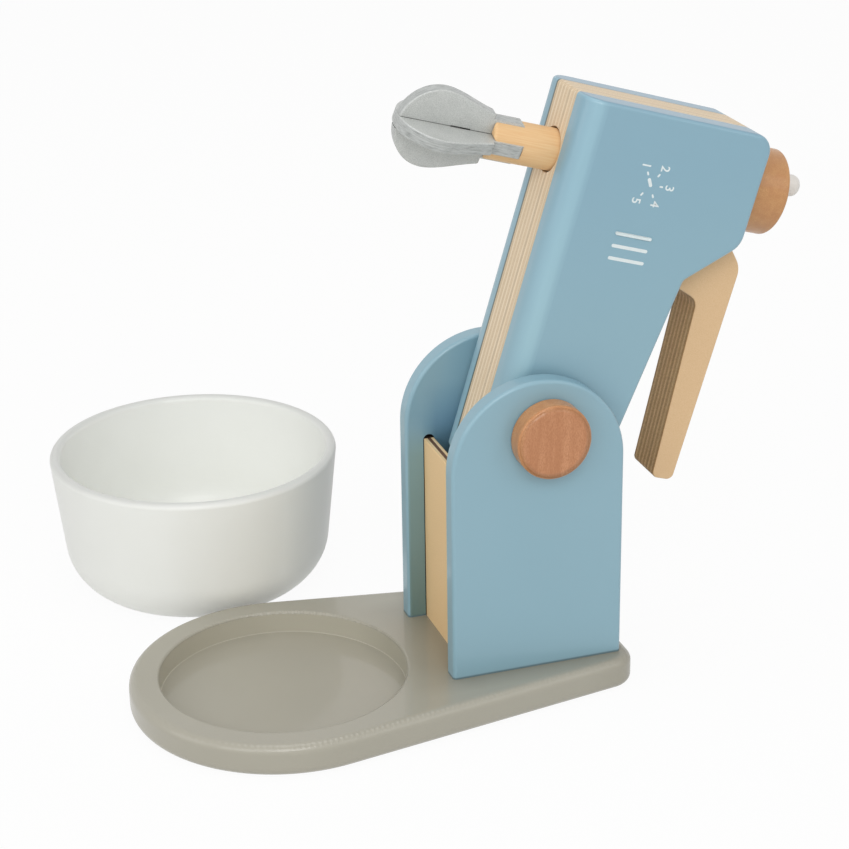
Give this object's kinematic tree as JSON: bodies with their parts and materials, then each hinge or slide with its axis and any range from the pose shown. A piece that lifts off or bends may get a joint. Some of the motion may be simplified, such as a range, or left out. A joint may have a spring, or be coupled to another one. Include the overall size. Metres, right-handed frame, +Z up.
{
  "type": "toy stand mixer",
  "caption": "Wooden toy stand mixer: a tilting arm with a grip and a hand-cranked whisk, between rounded posts on a base with a round bowl recess, and a loose bowl beside it.",
  "frame": {"origin": "on the underside of the base plate, below the centre of the bowl recess", "axes": "+Z up, +X from the bowl end towards the posts and the pivot, so -Y is the object's right side; the arm tilts about the Y direction"},
  "size_m": [0.2852, 0.2371, 0.24],
  "materials": {
    "blue_lacquer": "satin lacquer on fibreboard",
    "taupe_lacquer": "satin lacquer on fibreboard",
    "birch_ply": "sanded, clear matt varnish",
    "beech": "turned and oiled, with visible rays",
    "pale_dowel": "sanded dowel, clear matt varnish",
    "silver_lacquer": "satin silver-grey paint on plywood",
    "white_lacquer": "satin white lacquer on turned wood",
    "steel": "zinc plated",
    "fibre": "pressed fibre washer"
  },
  "bodies": {
    "stand": {"base_plate": "taupe_lacquer", "base_screws": "steel", "left_post": "blue_lacquer", "right_post": "blue_lacquer", "front_panel": "birch_ply", "rear_panel": "birch_ply"},
    "arm": {"arm_core": "birch_ply", "left_cheek": "blue_lacquer", "right_cheek": "blue_lacquer", "arm_pins": "pale_dowel", "pivot_axle": "pale_dowel", "left_washer": "fibre", "right_washer": "fibre", "left_pivot_knob": "beech", "right_pivot_knob": "beech"},
    "whisk": {"whisk_shaft": "pale_dowel", "whisk_blade": "silver_lacquer", "cross_blade": "silver_lacquer", "crank_knob": "beech", "crank_peg": "white_lacquer"},
    "bowl": {"bowl": "white_lacquer"}
  },
  "joints": [
    {"name": "arm_tilt", "type": "hinge", "parent": "stand", "child": "arm", "pos_m": [0.09735, 0, 0.11], "axis": [0, -1, 0], "range_deg": [0, 106.8]},
    {"name": "whisk_spin", "type": "hinge", "parent": "arm", "child": "whisk", "pos_m": [0.12634, 0, 0.20602], "axis": [0.9598, 0, -0.2807], "continuous": true},
    {"name": "bowl_lift", "type": "slide", "parent": "stand", "child": "bowl", "axis": [0, 0, 1], "range_m": [0, 0.25]}
  ]
}
